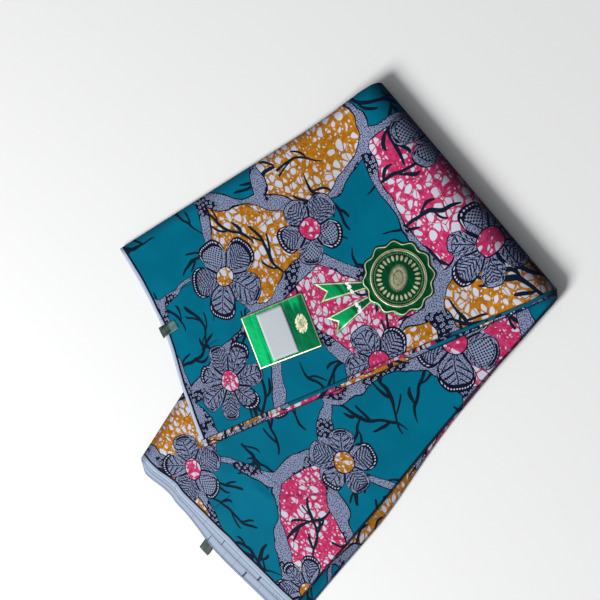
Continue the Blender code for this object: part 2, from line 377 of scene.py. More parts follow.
class Field:
    """What nodes work out at each point: a number, a place or a colour. Sums on it add nodes."""

    def __init__(self, tree, socket):
        self.tree, self.socket = tree, socket

    def also(self, name):
        """Another output of the same node."""
        return Field(self.tree, self.socket.node.outputs[name])

    def math(self, how, *others):
        """A Math or Vector Math node on this field and others."""
        kind = "ShaderNodeMath" if self.socket.type == "VALUE" else "ShaderNodeVectorMath"
        made = put(self.tree, kind, {"operation": how}, dict(enumerate((self, *others))))
        return made.also("Value") if how in ("LENGTH", "DOT_PRODUCT") else made

    def __rsub__(self, other):
        return self.math("MULTIPLY_ADD", -1.0, other)

    __add__ = operator("ADD")
    __sub__ = operator("SUBTRACT")
    __mul__ = operator("MULTIPLY")
    __truediv__ = operator("DIVIDE")
    __pow__ = operator("POWER")
    __gt__ = operator("GREATER_THAN")
    __lt__ = operator("LESS_THAN")
    __abs__ = operator("ABSOLUTE")


def join(tree, node, inputs):
    """Joins fields to a node's inputs, and sets its plain values."""
    for name, value in inputs.items():
        if isinstance(value, Field):
            tree.links.new(value.socket, node.inputs[name])
        else:
            node.inputs[name].default_value = value


def put(tree, kind, settings, inputs, output=0):
    """Adds a shader node, sets it, joins its inputs, and gives one of its outputs."""
    made = tree.nodes.new(kind)
    for name, value in settings.items():
        setattr(made, name, value)
    join(tree, made, inputs)
    return Field(tree, made.outputs[output])


def parts(field):
    """The three numbers of a place or a colour."""
    kind = "ShaderNodeSeparateColor" if field.socket.type == "RGBA" else "ShaderNodeSeparateXYZ"
    first = put(field.tree, kind, {}, {0: field})
    return [first.also(place) for place in range(3)]


def highest(first, *others):
    """The highest of some numbers."""
    for other in others:
        first = first.math("MAXIMUM", other)
    return first


def waves(distance, pitch):
    """A sine wave with a pitch."""
    return (distance * (2.0 * pi / pitch)).math("SINE")


def step_up(value, low, high):
    """0 below low, 1 above high, and soft between. It falls where low is the higher one."""
    inputs = {"Value": value, "From Min": low, "From Max": high}
    return put(value.tree, "ShaderNodeMapRange", {"interpolation_type": "SMOOTHSTEP"}, inputs)


def between(value, low, high, soft):
    """1 between two values and 0 outside them."""
    return step_up(value, low - soft, low + soft) * (1.0 - step_up(value, high - soft, high + soft))


def lay_over(share, under, over):
    """One colour laid over another where share is 1."""
    return put(share.tree, "ShaderNodeMix", {"data_type": "RGBA"}, {0: share, 6: under, 7: over}, 2)


def cells(place, scale, feature="F1", spread=1.0):
    """A flat Voronoi texture's distance."""
    settings = {"voronoi_dimensions": "2D", "feature": feature}
    inputs = {"Vector": place, "Scale": scale, "Randomness": spread}
    return put(place.tree, "ShaderNodeTexVoronoi", settings, inputs)


def clouds(place, scale, detail=1.0):
    """A flat noise texture."""
    inputs = {"Vector": place, "Scale": scale, "Detail": detail}
    return put(place.tree, "ShaderNodeTexNoise", {"noise_dimensions": "2D"}, inputs)


def shaken(place, scale, size):
    """A place moved about by a soft noise."""
    drift = clouds(place, scale).also("Color")
    return place + (drift - (0.5, 0.5, 0.5)) * (size, size, 0.0)


def rotated(place, angle):
    """A place turned about the middle."""
    return put(place.tree, "ShaderNodeVectorRotate", {"rotation_type": "Z_AXIS"},
               {"Vector": place, "Angle": angle})


def uv_map(tree, name="cloth"):
    """A UV map, which holds distances in metres."""
    return put(tree, "ShaderNodeUVMap", {"uv_map": name}, {})


def new_group(name, outputs):
    """A node group that takes a place. outputs gives each result's name and kind."""
    tree = bpy.data.node_groups.new(name, "ShaderNodeTree")
    tree.interface.new_socket("Place", in_out="INPUT", socket_type="NodeSocketVector")
    for result, kind in outputs.items():
        tree.interface.new_socket(result, in_out="OUTPUT", socket_type="NodeSocket" + kind)
    return tree, put(tree, "NodeGroupInput", {}, {})


def new_material(name):
    """A material with its tree and its shader."""
    material = bpy.data.materials.new(name)
    material.use_nodes = True
    return material, material.node_tree, material.node_tree.nodes["Principled BSDF"]


TEAL = (0.000, 0.156, 0.252, 1.0)
DEEP_TEAL = (0.000, 0.134, 0.220, 1.0)
NAVY = (0.006, 0.007, 0.024, 1.0)
TWIG = (0.005, 0.014, 0.028, 1.0)
LAVENDER = (0.275, 0.320, 0.470, 1.0)
STIPPLE = (0.048, 0.056, 0.125, 1.0)
PINK = (0.560, 0.046, 0.165, 1.0)
DEEP_PINK = (0.460, 0.020, 0.090, 1.0)
OCHRE = (0.470, 0.190, 0.010, 1.0)
DEEP_OCHRE = (0.360, 0.125, 0.005, 1.0)
BLEACHED = (0.565, 0.590, 0.690, 1.0)
SELVEDGE_WHITE = (0.360, 0.430, 0.545, 1.0)
PATCH_CELLS = 6.6
PATCH_SPREAD = 0.85
OCHRE_FROM = 0.46
PINK_FROM = 0.72
BAND = 0.0085
BAND_LINE = 0.0016
BEAD_CELLS = 165.0
GRAIN_SCALE = 620.0
BUBBLE_CELLS = 86.0
SMALL_BUBBLE_CELLS = 200.0
VEIN_CELLS = 36.0
TWIG_LAYERS = ((0.0, 8.6), (5.3, 10.0))
TWIG_SHOOTS = (
    # where it starts along the stem, its angle, length, bow and half width, in millimetres and degrees
    (-27.0, 50.0, 26.0, 13.0, 2.3),
    (-3.0, -42.0, 29.0, -11.0, 2.5),
    (19.0, 46.0, 21.0, 15.0, 2.2),
)
TWIG_HALF = 0.052
TWIG_WIDTH = 0.0028
TWIG_SWING = 0.0045
BLOSSOM_CELLS = 5.0
BLOSSOM_SPREAD = 0.5
FEWEST_PETALS = 5
PETAL_REACH = 0.064
HATCH_PITCH = 0.0046
NET_PITCH = 0.0052
LEAF_PITCH = 0.0085
RIB_HALF = 0.0008
STROKE_PITCH = 0.0082
PETAL_RIM = 0.0082
RIM_LINE = 0.0012
PETAL_LINE = 0.0016
TOOTH_PITCH = 0.0038
TOOTH_SIZE = 0.085
EYE_RADIUS = 0.0148
EYE_LINE = 0.0017
LOWER_SELVEDGE = 0.0090
UPPER_SELVEDGE = 0.0060
SELVEDGE_LINE = 0.0038
SELVEDGE_DASH_PITCH = 0.071
SELVEDGE_DASH_HALF = 0.006
THREAD_PITCH = 0.0008


def bubbles(place, scale, least, most, crowd):
    """Round resist marks, above 0 inside a mark. They grow where crowd is high, each to its own size."""
    near = cells(place, scale)
    gap = cells(place, scale, "F2") - near
    own = parts(near.also("Color"))[0]
    limit = crowd * (least - most) + most + (own * 0.20 - 0.10)
    return (gap - limit).math("MINIMUM", near * -1.3 + 0.72)


def stroke(along, aside, start, end, width):
    """A drawn stroke along one axis, rounded at both ends and a little fuller at one: 1 inside it."""
    half = (end - start) / 2.0
    share = along * (1.0 / half) - (start + end) / 2.0 / half
    round_off = (1.0 - share * share).math("MAXIMUM", 0.0)
    swell = (share * 0.22 + 1.0) * width
    return step_up(round_off ** 0.28 * swell - abs(aside), 0.0, 0.0004)


def twigs(place, seed, scale):
    """Forked twigs, one in each cell of a loose grid: a curved stem with side shoots."""
    moved = place + (seed, 0.7 * seed, 0.0)
    grid = cells(moved, scale, spread=0.6)
    heading, phase, flip = parts(grid.also("Color"))
    local = shaken(moved, 26.0, 0.013) - grid.also("Position")
    along, side, _ = parts(rotated(local, heading * 6.0))
    swing = (along * 75.0 + phase * 6.0).math("SINE")
    aside = side * (flip - 0.5).math("SIGN") - swing * TWIG_SWING
    mask = stroke(along, aside, -TWIG_HALF, TWIG_HALF, TWIG_WIDTH)
    for start, angle, length, bow, width in TWIG_SHOOTS:
        turn = radians(angle)
        off = along - start / 1000.0
        ahead = off * cos(turn) + aside * sin(turn)
        beside = aside * cos(turn) - off * sin(turn)
        curved = ahead * ahead * bow + beside
        mask = highest(mask, stroke(ahead, curved, -0.001, length / 1000.0, width / 1000.0))
    return mask


def wax_print_group():
    """The print: bubbled patches, stippled bands, twigs and petalled blossoms, and the selvedges."""
    tree, place = new_group("wax print", {"Color": "Color", "Ink": "Float"})

    # the dyed patches
    drawn = shaken(shaken(place, 7.0, 0.05), 27.0, 0.014)
    pick = parts(cells(drawn, PATCH_CELLS, spread=PATCH_SPREAD).also("Color"))[0]
    tide = clouds(place, 16.0, 2.0)
    teal = lay_over(step_up(tide, 0.3, 0.7), TEAL, DEEP_TEAL)

    # the resist marks: large ones, small ones between them, and fine veins that cross both
    loose = shaken(place * (1.0, 0.80, 1.0), 55.0, 0.006)
    crowd = step_up(clouds(place, 24.0, 2.0), 0.30, 0.66)
    large = bubbles(loose, BUBBLE_CELLS, 0.16, 0.60, crowd)
    small = bubbles(loose, SMALL_BUBBLE_CELLS, 0.40, 0.60, crowd)
    small = step_up(small, -0.02, 0.10) * step_up(large, -0.10, -0.20)
    vein = step_up(cells(loose, VEIN_CELLS, "DISTANCE_TO_EDGE"), 0.010, 0.026)
    white = highest(step_up(large, -0.02, 0.06), small) * vein
    depth = step_up(clouds(place, 140.0, 2.0), 0.35, 0.65)
    pink = lay_over(white, lay_over(depth, PINK, DEEP_PINK), BLEACHED)
    ochre = lay_over(white, lay_over(depth, OCHRE, DEEP_OCHRE), BLEACHED)
    ground = lay_over(pick > PINK_FROM, lay_over(pick > OCHRE_FROM, teal, ochre), pink)

    # the forked twigs
    branch = highest(*[twigs(place, seed, scale) for seed, scale in TWIG_LAYERS])
    ground = lay_over(branch, ground, TWIG)

    # the stippled bands between the patches, of uneven width, with beaded stretches
    rim = cells(drawn, PATCH_CELLS, "DISTANCE_TO_EDGE", PATCH_SPREAD) / PATCH_CELLS
    broad = step_up(clouds(place + (1.3, 8.1, 0.0), 13.0), 0.25, 0.70)
    to_edge = broad * (1.2 * BAND) + 0.35 * BAND - rim
    grain = clouds(place, GRAIN_SCALE, 0.0)
    stipple = lay_over(step_up(grain, 0.50, 0.60), LAVENDER, STIPPLE)
    where = clouds(place + (7.3, 2.9, 0.0), 24.0, 0.0)
    beaded = lay_over(between(cells(place, BEAD_CELLS, spread=0.6), 0.16, 0.34, 0.05), NAVY, LAVENDER)
    band = lay_over(step_up(where, 0.57, 0.59), stipple, beaded)
    band = lay_over(to_edge < BAND_LINE, band, NAVY)
    ground = lay_over(to_edge > 0.0, ground, band)

    # the blossoms, each about the middle of its own cell
    flower = cells(place, BLOSSOM_CELLS, spread=BLOSSOM_SPREAD)
    reach = shaken(place, 26.0, 0.008) - flower.also("Position")
    x, y, _ = parts(reach)
    away = reach.math("LENGTH")
    own = parts(flower.also("Color"))
    petals = (own[1] * 2.99 + float(FEWEST_PETALS)).math("FLOOR")
    turns = y.math("ARCTAN2", x) / (2.0 * pi) * petals + own[2] * 9.0
    which = turns.math("FLOOR").math("FLOORED_MODULO", petals)
    lot = put(tree, "ShaderNodeCombineXYZ", {}, {0: which, 1: own[0]})
    dice = put(tree, "ShaderNodeTexWhiteNoise", {"noise_dimensions": "2D"}, {"Vector": lot}, "Color")
    dice = parts(dice)
    side = turns.math("FRACT") - 0.5
    lobe = (abs(side) * 2.0) ** 3.0 * -0.42 + 1.0
    size = own[2] * 0.16 + 0.70 + dice[0] * 0.20
    outline = lobe * size * PETAL_REACH
    inside = outline - away
    arc = away * (2.0 * pi) / petals
    border = inside.math("MINIMUM", (0.5 - abs(side)) * arc)
    beside = side * arc
    slant = away - abs(beside) * 0.8

    # three fillings: hatched, netted, and a veined leaf
    hatched = lay_over(step_up(waves(slant, HATCH_PITCH), 0.10, 0.45), stipple, NAVY)
    net = waves(beside, NET_PITCH) * waves(away, NET_PITCH)
    netted = lay_over(step_up(net, -0.02, 0.22), LAVENDER, NAVY)
    veins = step_up(waves(slant, LEAF_PITCH), 0.55, 0.75) * (abs(beside) > 0.0022)
    leaf = lay_over(highest(veins, abs(beside) < RIB_HALF), stipple, NAVY)
    filling = lay_over(dice[1] > 0.34, hatched, netted)
    filling = lay_over(dice[1] > 0.67, filling, leaf)

    # each petal: its filling, a thin inner line, a stippled rim with leafy strokes, and its outline
    petal = lay_over(border < PETAL_RIM, filling, NAVY)
    petal = lay_over(border < PETAL_RIM - RIM_LINE, petal, stipple)
    strokes = step_up(waves(border * 1.3 + away, STROKE_PITCH), 0.15, 0.4)
    strokes = strokes * between(border, 0.0026, 0.0060, 0.0004) * (dice[2] > 0.45)
    petal = lay_over(strokes, petal, NAVY)
    tooth_x = (beside / TOOTH_PITCH).math("FRACT") - 0.5
    tooth_y = (inside - 0.0040) / TOOTH_PITCH
    cap = lay_over(tooth_x * tooth_x + tooth_y * tooth_y < TOOTH_SIZE, NAVY, BLEACHED)
    petal = lay_over((dice[2] < 0.62) * (inside < outline * 0.16), petal, cap)
    petal = lay_over(border < PETAL_LINE, petal, NAVY)
    petal = lay_over(away < EYE_RADIUS + EYE_LINE, petal, NAVY)
    petal = lay_over(away < EYE_RADIUS, petal, lay_over(own[0] > 0.5, ochre, pink))
    colour = lay_over(inside > 0.0, ground, petal)

    # the white selvedges, each with a dark line, and short dark dashes across them
    run, length, _ = parts(place)
    waver = (tide - 0.5) * 0.005
    from_upper = CLOTH_WIDTH - UPPER_SELVEDGE - run - waver
    from_edge = (run + waver - LOWER_SELVEDGE).math("MINIMUM", from_upper)
    dash = (length * (1.0 / SELVEDGE_DASH_PITCH) + tide * 3.0).math("FRACT")
    dash = (abs(dash - 0.5) < SELVEDGE_DASH_HALF) * (step_up(grain, 0.25, 0.40) * 0.8)
    selvedge = lay_over(dash, SELVEDGE_WHITE, NAVY)
    colour = lay_over(from_edge < SELVEDGE_LINE, colour, NAVY)
    colour = lay_over(from_edge < 0.0, colour, selvedge)
    ink = put(tree, "ShaderNodeRGBToBW", {}, {0: colour})
    join(tree, tree.nodes.new("NodeGroupOutput"), {0: colour, 1: ink})
    return tree


def weave_group():
    """A plain weave, as a height over the flat cloth."""
    tree, place = new_group("plain weave", {"Height": "Float"})
    warp, weft, _ = parts(place)
    height = waves(warp, THREAD_PITCH) * waves(weft, THREAD_PITCH) * 0.25 + clouds(place, 260.0, 3.0)
    join(tree, tree.nodes.new("NodeGroupOutput"), {0: height})
    return tree


WAX_PRINT = wax_print_group()
WEAVE = weave_group()
# Painted shade, darkening the cloth's colour towards navy: thin lines along the open-side folds
# and the ply ends, where shade falls between the plies, and wide bands at the turned fold and at
# the spine, where the cloth rounds away from the light.
SHADES = (
    # painted shade: the UV map and axis of an edge's distance, how far it reaches, where it is full, its
    # depth
    ("edges", 0, 0.0022, 0.00088, 0.88),
    ("edges", 1, 0.0015, 0.00075, 0.72),
    ("turn", 0, 0.034, -0.0034, 0.90),
    ("turn", 1, 0.018, 0.0, 0.55),
)
PRESSED_WIDTH = 0.0021
PRESSED_HEIGHT = -5.0
# how dark the painted shade along each pressed line is
PRESSED_SHADE = 0.46
PRESSED_LINES = (
    # stretch, run, across, length and turn, as the creases, in millimetres and degrees
    ("upper", 262, 300, 95, 57),
    ("upper", 300, 262, 60, 74),
    ("upper", 418, 236, 88, 8),
    ("upper", 448, 140, 52, -5),
    ("upper", 406, 108, 70, 31),
    ("upper", 236, 262, 84, -12),
    ("lower", 508, 160, 96, 82),
    ("lower", 574, 262, 90, 66),
    ("lower", 470, 96, 76, 44),
    ("lower", 372, 84, 110, 71),
    ("lower", 604, 190, 60, 12),
)


def pressed_lines(place):
    """Thin creases pressed in when the cloth was packed: 1 on a line, and fading at its ends."""
    total = 0.0
    for stretch, run, across, length, turn in PRESSED_LINES:
        run, across, turn = 0.001 * run, 0.001 * across, radians(turn)
        if stretch == "upper":
            middle = (CLOTH_WIDTH - run_length(stretch, across) + run, across, 0.0)
        else:
            middle = (run_length(stretch, across) - run, 2.0 * (STRIP - SPINE) + SPINE_ARC - across, 0.0)
        off = place - middle
        ahead = off.math("DOT_PRODUCT", (cos(turn), sin(turn), 0.0))
        aside = off.math("DOT_PRODUCT", (-sin(turn), cos(turn), 0.0))
        line = step_up(abs(aside), PRESSED_WIDTH, 0.0)
        total = line * step_up(abs(ahead), 0.0005 * length, 0.0002 * length) + total
    return total


def cloth_material(name, shift, inner_shade):
    """Wax printed cotton with painted shade. shift moves the print; the last argument shades all of it."""
    material, tree, shader = new_material(name)
    place = uv_map(tree)
    print_node = put(tree, "ShaderNodeGroup", {"node_tree": WAX_PRINT}, {0: place + (0.0, shift, 0.0)})
    weave = put(tree, "ShaderNodeGroup", {"node_tree": WEAVE}, {0: place})
    pressed = pressed_lines(place)
    # the pressed lines darken the cloth as painted shade, as well as denting its bump
    shade = pressed * PRESSED_SHADE
    for distances, axis, reach, full, depth in SHADES:
        shade = highest(shade, step_up(parts(uv_map(tree, distances))[axis], reach, full) * depth)
    threads = {"Strength": 0.35, "Distance": 0.0002, "Height": pressed * PRESSED_HEIGHT + weave}
    # painted shade: the colour darkened towards navy by the edge, fold, spine and pressed-line shades
    join(tree, shader, {
        "Base Color": lay_over(highest(shade, inner_shade), print_node, NAVY),
        "Roughness": print_node.also("Ink") * 0.12 + 0.62,
        "Normal": put(tree, "ShaderNodeBump", {}, threads),
        "Specular IOR Level": 0.015,
    })
    return material


rows = sections(upper_steps=88, roll_steps=26, lower_steps=124)
stations = around_strip(face_steps=60, spine_steps=12, wrap_steps=8, tuck_steps=3)
mesh = grid(len(rows) - 1, len(stations) - 1)
places, edges, turns = {}, {}, {}
for vert in mesh.verts:
    section = rows[round((vert.co.x + 0.5) * (len(rows) - 1))]
    station = stations[round((vert.co.y + 0.5) * (len(stations) - 1))]
    across, depth, fan, along_cloth = station_place(section, station)
    past_end = fan_out(section, across, fan)
    places[vert] = (cloth_place(section, across, past_end), along_cloth)
    # distances from the open-side folds, the lower end, the turned fold and the spine, for painted shade
    edges[vert] = (fold_distance(section, station, across), places[vert][0])
    turns[vert] = (turn_distance(section, across), STRIP - across)
    vert.co = strip_point(section, across, depth, past_end)
set_uvs(mesh, cloth=places, edges=edges, turn=turns)
bmesh.ops.reverse_faces(mesh, faces=mesh.faces)
printed_cotton = cloth_material("printed cotton", shift=0.0, inner_shade=0.0)
printed_cloth = as_object(mesh, "printed_cloth", printed_cotton)
thicken(printed_cloth, CLOTH_THICK)
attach(printed_cloth, "root")
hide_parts("upper_stretch", "lower_stretch")


# Inner plies
# The fourteen plies between, kept as one solid. Its border has every ply's own edge: two raw
# edges and the second fold along the open side, and the fanned selvedges at both ends.
PLY_COUNT = 16
PACK_STEPS = 40
FAN_SHARES = (1.0, 1.0, 0.985, 0.95, 0.55, 0.52, 0.50, 0.46, 0.05, 0.04, 0.03, 0.03, 0.02, 0.01, 0.0, 0.0)
RAW_PLIES = (2, 3)
SECOND_FOLD_PLIES = (4, 7)
SECOND_REACH = 0.0014
GROOVE = 0.0011
PLY_PRINT_STEP = 0.0055
PLY_UNEVEN = 0.0016
HIDDEN_BACK = 0.006
RAW_STEP = 0.0012
RAW_BACK = 0.0004
LOWER_END_BACK = 0.0006
UPPER_END_BACK = 0.0010
SECOND_SHADE_BACK = 0.0009
PLY_FACE = 0.012
MERGE = 0.000002
PLY_EDGE = ((0.12, 0.35), (0.50, 0.0), (0.88, 0.35), (1.0, 1.0))


def ply_open_edge(section, depth, ply, groove):
    """How far in from the open side the pack's border lies at a depth."""
    first = open_edge(section, FIRST_FOLD, True)
    second = open_edge(section, SECOND_FOLD, True)
    if ply < RAW_PLIES[0]:
        return first + HIDDEN_BACK
    if ply <= RAW_PLIES[1]:
        return first + RAW_STEP * (ply - RAW_PLIES[0]) + RAW_BACK + groove
    if ply <= SECOND_FOLD_PLIES[1]:
        middle = (SECOND_FOLD_PLIES[0] + SECOND_FOLD_PLIES[1] + 1) / 2.0
        off = (depth / PITCH - middle) / 2.0
        return second + SECOND_REACH * (1.0 - sqrt(max(0.0, 1.0 - off * off)))
    return open_edge(section, THIRD_FOLD, False) + HIDDEN_BACK


def ply_end(section, across, ply, groove):
    """How far a ply reaches past its stretch's end."""
    own = PLY_UNEVEN * noise.noise(Vector((across * 14.0, ply * 1.9, 3.3)))
    if section[0] == "lower":
        return fan_out(section, across, FAN_SHARES[ply]) + own * FAN_SHARES[ply] - LOWER_END_BACK - groove
    return own - UPPER_END_BACK - groove


rows = sections(upper_steps=60, roll_steps=20, lower_steps=84)
lines = [step / PACK_STEPS for step in range(PACK_STEPS + 1)]
levels = [(ply, ply + down, GROOVE * back) for ply in range(1, PLY_COUNT - 1) for down, back in PLY_EDGE]
levels = levels[:-1]


def pack_point(row, column, level):
    """A point of the pack, its place on the cloth, and its distances for the painted shade at its edges."""
    section = rows[row]
    ply, plies_down, groove = levels[level]
    depth = plies_down * PITCH
    low = ply_open_edge(section, depth, ply, groove)
    off = (depth / STACK - 0.5) * 2.0
    high = STRIP - SPINE + (SPINE - 2.0 * CLOTH_THICK) * sqrt(max(0.0, 1.0 - off * off))
    across = low + (high - low) * lines[column]
    past_end = ply_end(section, across, ply, groove) if section[0] != "roll" else 0.0
    place = (cloth_place(section, across, past_end), across + PLY_PRINT_STEP * depth / PITCH)
    from_fold = across - open_edge(section, SECOND_FOLD, True) + SECOND_SHADE_BACK
    # painted shade: 0 in each groove, for a dark line where each ply's end lies on the next
    edge = (from_fold, 0.0 if groove == GROOVE else PLY_FACE)
    return strip_point(section, across, depth, past_end), place, edge


mesh = grid(len(rows) - 1, len(lines) - 1)
row_of = mesh.verts.layers.int.new("row")
line_of = mesh.verts.layers.int.new("line")
for vert in mesh.verts:
    vert[row_of] = round((vert.co.x + 0.5) * (len(rows) - 1))
    vert[line_of] = round((vert.co.y + 0.5) * (len(lines) - 1))
places, edges, turns = {}, {}, {}


def settle(verts, level):
    """Moves vertices to their places at a level of the pack's border."""
    for vert in verts:
        vert.co, places[vert], edges[vert] = pack_point(vert[row_of], vert[line_of], level)
        turns[vert] = (turn_distance(rows[vert[row_of]], STRIP / 2.0), STRIP)


top_faces = list(mesh.faces)
settle(mesh.verts, 0)
copied = bmesh.ops.duplicate(mesh, geom=top_faces)["geom"]
bottom_faces = [item for item in copied if isinstance(item, bmesh.types.BMFace)]
settle({vert for face in bottom_faces for vert in face.verts}, len(levels) - 1)
bmesh.ops.reverse_faces(mesh, faces=bottom_faces)
rim = [edge for face in top_faces for edge in face.edges if edge.is_boundary]
for level in range(1, len(levels)):
    made = bmesh.ops.extrude_edge_only(mesh, edges=rim)["geom"]
    settle([item for item in made if isinstance(item, bmesh.types.BMVert)], level)
    rim = [item for item in made if isinstance(item, bmesh.types.BMEdge) and item.is_boundary]
set_uvs(mesh, cloth=places, edges=edges, turn=turns)
bmesh.ops.remove_doubles(mesh, verts=mesh.verts, dist=MERGE)
bmesh.ops.recalc_face_normals(mesh, faces=mesh.faces)
# The inner plies use the cloth's material darkened all over towards navy, as painted shade.
inner_cotton = cloth_material("inner plies cotton in painted shade", shift=0.9, inner_shade=0.24)
inner_plies_pack = as_object(mesh, "inner_plies_pack", inner_cotton)
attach(inner_plies_pack, "root")
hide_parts("inner_plies")


# Foil seal
# A round seal of embossed green foil, stuck on the upper stretch. Its rim is scalloped, and its
# lines, beads and rays are hot stamped in pale gold. Its middle is plain.
SEAL_AT = (0.1429, 0.1434)
SEAL_LIFT = 0.0004
SCALLOPS = 12
SCALLOP = 0.0022
SCALLOP_TURN = radians(2.0)
WAVE_FROM = 41.5
WAVE_TO = 45.5
SEAL_PROFILE = (
    # radius and height, in millimetres, from the middle of the top to the middle of the bottom
    (0.0, 0.40), (5.0, 0.36), (10.0, 0.28), (18.0, 0.25), (25.0, 0.30), (32.0, 0.25), (35.0, 0.26),
    (35.6, 0.42), (38.1, 0.44), (38.7, 0.30), (42.0, 0.26), (44.9, 0.28), (45.5, 0.42), (46.8, 0.42),
    (47.3, 0.28), (48.7, 0.24), (48.8, 0.00), (30.0, 0.00), (0.0, 0.00),
)
SEAL_OVAL = (radians(139.0), 0.0155, 0.0106)
BEAD_RING = 0.0262
BEAD_COUNT = 27
DOT_COUNT = 72
RAY_COUNT = 48.0
LINE_SOFT = 0.0002
WAVY_LINE = (0.0455, 0.0468)
OUTER_LINE = (0.0371, 0.0383)
INNER_LINE = (0.0352, 0.0363)
DOT_LINE = (0.0320, 0.0330)
FOIL_METAL = 0.95
SEAL_GREEN = (0.001, 0.085, 0.028, 1.0)
# the sheen and bright greens are painted highlights on the foil, the crease white a painted highlight
SEAL_SHEEN = (0.001, 0.140, 0.050, 1.0)
FOIL_GREEN = (0.001, 0.120, 0.046, 1.0)
HIGHLIGHT_GREEN = (0.002, 0.320, 0.100, 1.0)
PALE_GOLD = (0.820, 0.750, 0.500, 1.0)
CREASE_HIGHLIGHT = (0.900, 0.940, 0.920, 1.0)


def foil_group():
    """Pressed foil: faint streaks along one way and small dents, as a painted highlight mask and a height.
    """
    tree, place = new_group("pressed foil", {"Highlight streak": "Float", "Height": "Float"})
    streak = clouds(place * (1.0, 0.08, 1.0), 150.0, 3.0)
    height = streak * 0.5 + clouds(place, 60.0, 2.0)
    join(tree, tree.nodes.new("NodeGroupOutput"), {0: streak, 1: height})
    return tree


FOIL = foil_group()


def foil_material(name, gold_mask, green, bright, highlight_mask=None, crease_highlight=None):
    """Green foil, gold where gold_mask is. Painted highlights: brighter on streaks, white on a crease."""
    material, tree, shader = new_material(name)
    place = uv_map(tree)
    foil = put(tree, "ShaderNodeGroup", {"node_tree": FOIL}, {0: place})
    # painted highlight: the streaks, and where the highlight function gives 1, take the brighter green
    streaks = foil + (highlight_mask(place) * 0.5 - 0.25 if highlight_mask else -0.25)
    colour = lay_over(step_up(streaks, 0.38, 0.68), green, bright)
    colour = lay_over(gold_mask(place), colour, PALE_GOLD)
    metal = FOIL_METAL
    # painted highlight along the crease: white, and less metallic
    if crease_highlight:
        crease_glint = crease_highlight(place)
        colour = lay_over(crease_glint, colour, CREASE_HIGHLIGHT)
        metal = crease_glint * -0.85 + FOIL_METAL
    dents = {"Strength": 0.5, "Distance": 0.0006, "Height": foil.also("Height")}
    join(tree, shader, {
        "Base Color": colour,
        "Roughness": foil * 0.30 + 0.22,
        "Metallic": metal,
        "Normal": put(tree, "ShaderNodeBump", {}, dents),
    })
    return material


def oval_span(place, turn, long_half, short_half):
    """How far a place lies from the middle of a turned oval: 1 on its outline."""
    return (rotated(place, -turn) * (1.0 / long_half, 1.0 / short_half, 0.0)).math("LENGTH")


def seal_gold(place):
    """The stamped rings, the wavy line, a ring of beads and short rays about the middle."""
    x, y, _ = parts(place)
    away = place.math("LENGTH")
    angle = y.math("ARCTAN2", x)
    lobes = ((angle - SCALLOP_TURN) * float(SCALLOPS)).math("COSINE")
    wavy = between(away - lobes * SCALLOP, *WAVY_LINE, LINE_SOFT)
    ring = between(away, *OUTER_LINE, LINE_SOFT)
    second = between(away, *INNER_LINE, LINE_SOFT) * 0.55
    count = (angle * (BEAD_COUNT / (2.0 * pi))).math("FRACT")
    bead_x = (count - 0.5) * (2.0 * pi * BEAD_RING / BEAD_COUNT)
    bead_y = (away - BEAD_RING) * 0.45
    bead = step_up((bead_x * bead_x + bead_y * bead_y).math("SQRT"), 0.0019, 0.0014) * 0.85
    small = (angle * (DOT_COUNT / (2.0 * pi))).math("FRACT")
    dots = between(small, 0.30, 0.72, 0.05) * between(away, *DOT_LINE, LINE_SOFT) * 0.6
    oval = oval_span(place, *SEAL_OVAL)
    rays = step_up((angle * RAY_COUNT).math("SINE"), -0.2, 0.4) * step_up(oval, 1.28, 0.98) * 0.6
    mottle = step_up(clouds(place, 320.0, 3.0), 0.30, 0.70)
    core = step_up(oval, 1.0, 0.94) * (mottle * 0.35 + 0.35)
    pit = between(oval, 0.56, 0.66, 0.02) * 0.35
    return highest(wavy, ring, second, bead, highest(rays, core) - pit, dots)


mesh = bmesh.new()
points = [mesh.verts.new((radius / 1000.0, 0.0, height / 1000.0)) for radius, height in SEAL_PROFILE]
lines_of_profile = [mesh.edges.new(pair) for pair in zip(points, points[1:])]
bmesh.ops.spin(mesh, geom=points + lines_of_profile, cent=(0.0, 0.0, 0.0), axis=(0.0, 0.0, 1.0),
               angle=2.0 * pi, steps=16 * SCALLOPS, use_merge=True)
bmesh.ops.remove_doubles(mesh, verts=mesh.verts, dist=MERGE)
bmesh.ops.recalc_face_normals(mesh, faces=mesh.faces)
places = {}
for vert in mesh.verts:
    radius = hypot(vert.co.x, vert.co.y)
    angle = atan2(vert.co.y, vert.co.x)
    wavy = smooth((1000.0 * radius - WAVE_FROM) / (WAVE_TO - WAVE_FROM))
    radius += SCALLOP * cos(SCALLOPS * (angle - SCALLOP_TURN)) * wavy
    places[vert] = (radius * cos(angle), radius * sin(angle))
    vert.co = on_face(SEAL_AT[0] + places[vert][0], SEAL_AT[1] + places[vert][1], SEAL_LIFT + vert.co.z)
set_uvs(mesh, cloth=places)
foil_seal = as_object(mesh, "foil_seal", foil_material("seal foil", seal_gold, SEAL_GREEN, SEAL_SHEEN))
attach(foil_seal, "root")
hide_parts("seal_disc")


# Seal tails
# Two ribbon tails of the same foil, which run out from under the seal and end in a notch. A gold
# line follows their edges, and a painted white highlight marks one crease across them both.
TAILS = (
    # name, node, its notch's depth, one side's start and tip, and the other side's start and tip
    ("tail_upper", "seal_tail_upper", 0.0142,
     (0.1789, 0.1674), (0.2419, 0.2133), (0.1817, 0.1571), (0.2512, 0.1859)),
    ("tail_lower", "seal_tail_lower", 0.0124,
     (0.1827, 0.1497), (0.2585, 0.1650), (0.1842, 0.1411), (0.2622, 0.1379)),
)
TAIL_SLOPE = 0.7
FOIL_LIFT = 0.0003
FOIL_THICK = 0.0002
TAIL_CREASE = ((0.2016, 0.1866), (0.2135, 0.1382))


